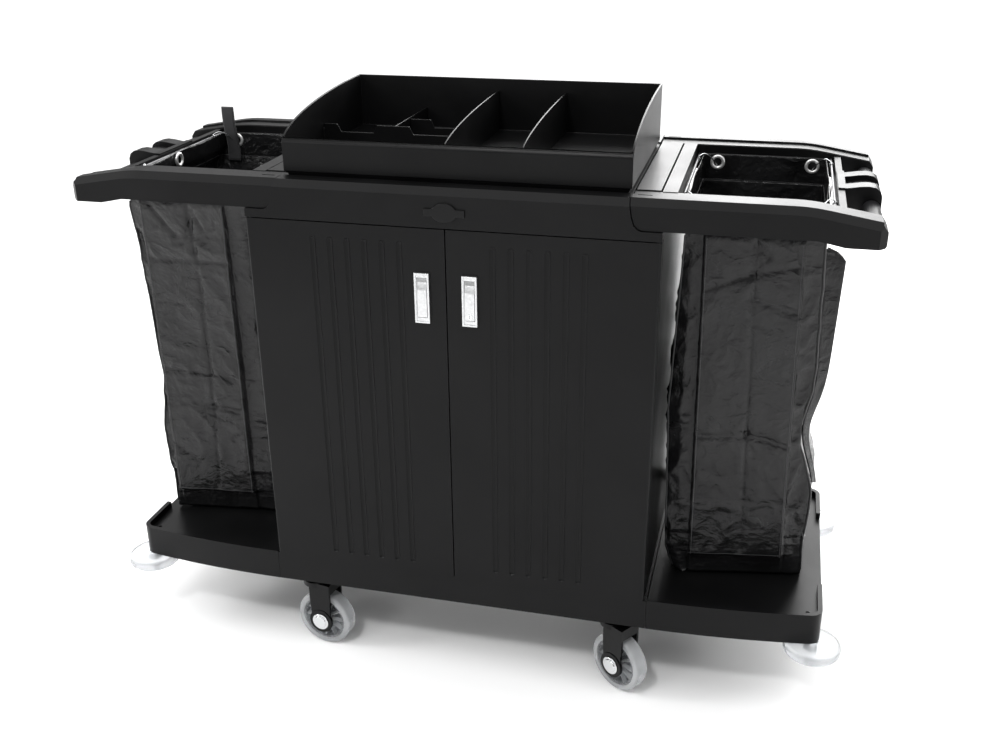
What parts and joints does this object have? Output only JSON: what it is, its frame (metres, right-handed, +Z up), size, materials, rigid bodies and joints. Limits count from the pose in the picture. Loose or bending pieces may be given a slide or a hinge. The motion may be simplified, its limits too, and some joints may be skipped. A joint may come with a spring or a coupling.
{
  "type": "housekeeping cart",
  "caption": "Black moulded housekeeping cart with a two-door cabinet, a divided amenity tray on top, a linen bag at each end, swivel casters and bumper wheels.",
  "frame": {"origin": "on the floor, at the centre of the cart's length and depth", "axes": "+X along the cart towards its right-hand handle, -Y towards the doors, +Z up"},
  "size_m": [1.534, 0.59, 1.156],
  "materials": {
    "black_plastic": "satin moulded polypropylene with a fine texture",
    "black_gloss": "smooth black plastic",
    "dark_metal": "black powder coat",
    "latch_metal": "satin nickel die casting",
    "steel": "bright zinc and nickel plate",
    "clear_tyre": "clear grey polyurethane",
    "clear_rim": "translucent grey polycarbonate",
    "coated_fabric": "black vinyl-coated cloth with a wet shine and creases",
    "webbing": "black woven tape"
  },
  "bodies": {
    "chassis": {"base_beam": "black_plastic", "deck_left": "black_plastic", "deck_right": "black_plastic", "cabinet_posts": "dark_metal", "side_panel_left": "black_plastic", "side_panel_right": "black_plastic", "back_panel": "black_plastic", "shelf_lower": "black_plastic", "shelf_upper": "black_plastic", "top_frame": "black_plastic", "cover_strips": "black_plastic", "badge": "black_gloss", "handle_frame_left": "black_plastic", "handle_frame_right": "black_plastic", "grip_left": "black_plastic", "grip_right": "black_plastic", "tool_holder_left": "black_plastic", "tool_holder_right": "black_plastic", "bag_rods": "steel", "bag_hooks": "steel", "grommets": "steel", "bag_left": "coated_fabric", "bag_right": "coated_fabric", "bag_strap": "webbing", "hinge_pins": "steel", "caster_plates": "dark_metal", "base_bolts": "steel"},
    "tray_unit": {"tray": "black_plastic", "tray_dividers": "black_plastic"},
    "front_divider": {"cross_divider_front": "black_plastic"},
    "rear_divider": {"cross_divider_rear": "black_plastic"},
    "left_door": {"door_left": "black_plastic", "latch_body_left": "latch_metal"},
    "right_door": {"door_right": "black_plastic", "latch_body_right": "latch_metal"},
    "left_lever": {"latch_lever_left": "latch_metal"},
    "right_lever": {"latch_lever_right": "latch_metal"},
    "left_bolt": {"latch_bolt_left": "steel"},
    "right_bolt": {"latch_bolt_right": "steel"},
    "key_plug": {"lock_cylinder": "steel"},
    "swivel_fl": {"caster_fork_fl": "black_gloss", "caster_axle_fl": "steel"},
    "swivel_fr": {"caster_fork_fr": "black_gloss", "caster_axle_fr": "steel"},
    "swivel_rl": {"caster_fork_rl": "black_gloss", "caster_axle_rl": "steel"},
    "swivel_rr": {"caster_fork_rr": "black_gloss", "caster_axle_rr": "steel"},
    "wheel_fl": {"caster_rim_fl": "clear_rim", "caster_tyre_fl": "clear_tyre"},
    "wheel_fr": {"caster_rim_fr": "clear_rim", "caster_tyre_fr": "clear_tyre"},
    "wheel_rl": {"caster_rim_rl": "clear_rim", "caster_tyre_rl": "clear_tyre"},
    "wheel_rr": {"caster_rim_rr": "clear_rim", "caster_tyre_rr": "clear_tyre"},
    "bumper_fl": {"bumper_wheel_fl": "clear_tyre"},
    "bumper_fr": {"bumper_wheel_fr": "clear_tyre"},
    "bumper_rl": {"bumper_wheel_rl": "clear_tyre"},
    "bumper_rr": {"bumper_wheel_rr": "clear_tyre"}
  },
  "joints": [
    {"name": "left_door_hinge", "type": "hinge", "parent": "chassis", "child": "left_door", "pos_m": [-0.378, -0.273, 0.6], "axis": [0, 0, -1], "range_deg": [0, 110]},
    {"name": "right_door_hinge", "type": "hinge", "parent": "chassis", "child": "right_door", "pos_m": [0.378, -0.273, 0.6], "axis": [0, 0, 1], "range_deg": [0, 110]},
    {"name": "left_lever_pivot", "type": "hinge", "parent": "left_door", "child": "left_lever", "pos_m": [-0.045, -0.286, 0.848], "axis": [-1, 0, 0], "range_deg": [0, 20], "stiffness_Nm_per_rad": 0.05},
    {"name": "right_lever_pivot", "type": "hinge", "parent": "right_door", "child": "right_lever", "pos_m": [0.045, -0.286, 0.848], "axis": [-1, 0, 0], "range_deg": [0, 20], "stiffness_Nm_per_rad": 0.05},
    {"name": "left_bolt_slide", "type": "slide", "parent": "left_door", "child": "left_bolt", "axis": [-1, 0, 0], "range_m": [0, 0.01]},
    {"name": "right_bolt_slide", "type": "slide", "parent": "right_door", "child": "right_bolt", "axis": [1, 0, 0], "range_m": [0, 0.01]},
    {"name": "key_turn", "type": "hinge", "parent": "right_lever", "child": "key_plug", "pos_m": [0.045, -0.29, 0.805], "axis": [0, 1, 0], "range_deg": [0, 90]},
    {"name": "tray_lift", "type": "slide", "parent": "chassis", "child": "tray_unit", "axis": [0, 0, 1], "range_m": [0, 0.12]},
    {"name": "front_divider_lift", "type": "slide", "parent": "tray_unit", "child": "front_divider", "axis": [0, 0, 1], "range_m": [0, 0.06]},
    {"name": "rear_divider_lift", "type": "slide", "parent": "tray_unit", "child": "rear_divider", "axis": [0, 0, 1], "range_m": [0, 0.06]},
    {"name": "swivel_fl_turn", "type": "hinge", "parent": "chassis", "child": "swivel_fl", "pos_m": [-0.324, -0.238, 0.15], "axis": [0, 0, 1], "continuous": true},
    {"name": "swivel_fr_turn", "type": "hinge", "parent": "chassis", "child": "swivel_fr", "pos_m": [0.324, -0.238, 0.15], "axis": [0, 0, 1], "continuous": true},
    {"name": "swivel_rl_turn", "type": "hinge", "parent": "chassis", "child": "swivel_rl", "pos_m": [-0.324, 0.238, 0.15], "axis": [0, 0, 1], "continuous": true},
    {"name": "swivel_rr_turn", "type": "hinge", "parent": "chassis", "child": "swivel_rr", "pos_m": [0.324, 0.238, 0.15], "axis": [0, 0, 1], "continuous": true},
    {"name": "wheel_fl_roll", "type": "hinge", "parent": "swivel_fl", "child": "wheel_fl", "pos_m": [-0.30622, -0.24082, 0.0625], "axis": [0.1564, 0.9877, 0], "continuous": true},
    {"name": "wheel_fr_roll", "type": "hinge", "parent": "swivel_fr", "child": "wheel_fr", "pos_m": [0.33892, -0.24807, 0.0625], "axis": [0.5592, 0.829, 0], "continuous": true},
    {"name": "wheel_rl_roll", "type": "hinge", "parent": "swivel_rl", "child": "wheel_rl", "pos_m": [-0.33892, 0.24807, 0.0625], "axis": [-0.5592, -0.829, 0], "continuous": true},
    {"name": "wheel_rr_roll", "type": "hinge", "parent": "swivel_rr", "child": "wheel_rr", "pos_m": [0.34161, 0.24174, 0.0625], "axis": [-0.2079, 0.9781, 0], "continuous": true},
    {"name": "bumper_fl_spin", "type": "hinge", "parent": "chassis", "child": "bumper_fl", "pos_m": [-0.712, -0.24, 0.155], "axis": [0, 0, 1], "continuous": true},
    {"name": "bumper_fr_spin", "type": "hinge", "parent": "chassis", "child": "bumper_fr", "pos_m": [0.712, -0.24, 0.155], "axis": [0, 0, 1], "continuous": true},
    {"name": "bumper_rl_spin", "type": "hinge", "parent": "chassis", "child": "bumper_rl", "pos_m": [-0.712, 0.24, 0.155], "axis": [0, 0, 1], "continuous": true},
    {"name": "bumper_rr_spin", "type": "hinge", "parent": "chassis", "child": "bumper_rr", "pos_m": [0.712, 0.24, 0.155], "axis": [0, 0, 1], "continuous": true}
  ],
  "couplings": [
    {"joint": "left_bolt_slide", "follows": "left_lever_pivot", "m_per_rad": 0.0286},
    {"joint": "right_bolt_slide", "follows": "right_lever_pivot", "m_per_rad": 0.0286}
  ]
}
